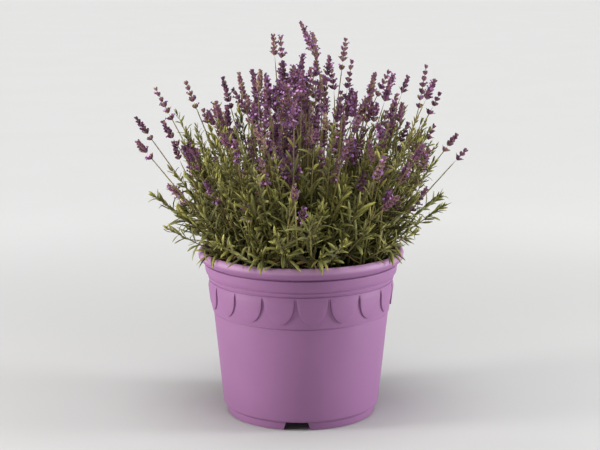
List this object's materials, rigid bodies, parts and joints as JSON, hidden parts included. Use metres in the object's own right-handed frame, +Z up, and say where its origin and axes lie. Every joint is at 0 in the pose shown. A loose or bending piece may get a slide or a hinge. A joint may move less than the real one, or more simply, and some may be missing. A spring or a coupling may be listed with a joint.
{
  "type": "potted lavender",
  "caption": "Flowering lavender plant standing in the soil of a round tapered plastic pot with a scalloped band and a rolled rim.",
  "frame": {"origin": "on the pot's axis, in the plane that the pot's foot ring stands on", "axes": "+Z up along the pot's axis, -Y towards the front; one foot notch faces the front, a little to its left"},
  "size_m": [0.428, 0.3903, 0.516],
  "materials": {
    "pot_plastic": "mauve moulded polypropylene with a satin skin",
    "potting_soil": "dark moist peat and bark compost",
    "flowers": "downy violet calyxes with lighter open florets on thin green stems",
    "leaves": "narrow olive green leaves, yellower towards the tips"
  },
  "bodies": {
    "root": {"pot": "pot_plastic", "potting_soil": "potting_soil", "flower_stem_01": "flowers", "flower_stem_02": "flowers", "flower_stem_03": "flowers", "flower_stem_04": "flowers", "flower_stem_05": "flowers", "flower_stem_06": "flowers", "flower_stem_07": "flowers", "flower_stem_08": "flowers", "flower_stem_09": "flowers", "flower_stem_10": "flowers", "flower_stem_11": "flowers", "flower_stem_12": "flowers", "flower_stem_13": "flowers", "flower_stem_14": "flowers", "flower_stem_15": "flowers", "flower_stem_16": "flowers", "flower_stem_17": "flowers", "flower_stem_18": "flowers", "flower_stem_19": "flowers", "flower_stem_20": "flowers", "flower_stem_21": "flowers", "flower_stem_22": "flowers", "flower_stem_23": "flowers", "flower_stem_24": "flowers", "flower_stem_25": "flowers", "flower_stem_26": "flowers", "flower_stem_27": "flowers", "flower_stem_28": "flowers", "flower_stem_29": "flowers", "flower_stem_30": "flowers", "flower_stem_31": "flowers", "flower_stem_32": "flowers", "flower_stem_33": "flowers", "flower_stem_34": "flowers", "flower_stem_35": "flowers", "flower_stem_36": "flowers", "flower_stem_37": "flowers", "flower_stem_38": "flowers", "flower_stem_39": "flowers", "flower_stem_40": "flowers", "leafy_shoot_01": "leaves", "leafy_shoot_02": "leaves", "leafy_shoot_03": "leaves", "leafy_shoot_04": "leaves", "leafy_shoot_05": "leaves", "leafy_shoot_06": "leaves", "leafy_shoot_07": "leaves", "leafy_shoot_08": "leaves", "leafy_shoot_09": "leaves", "leafy_shoot_10": "leaves", "leafy_shoot_11": "leaves", "leafy_shoot_12": "leaves", "leafy_shoot_13": "leaves", "leafy_shoot_14": "leaves", "leafy_shoot_15": "leaves", "leafy_shoot_16": "leaves"}
  },
  "joints": []
}
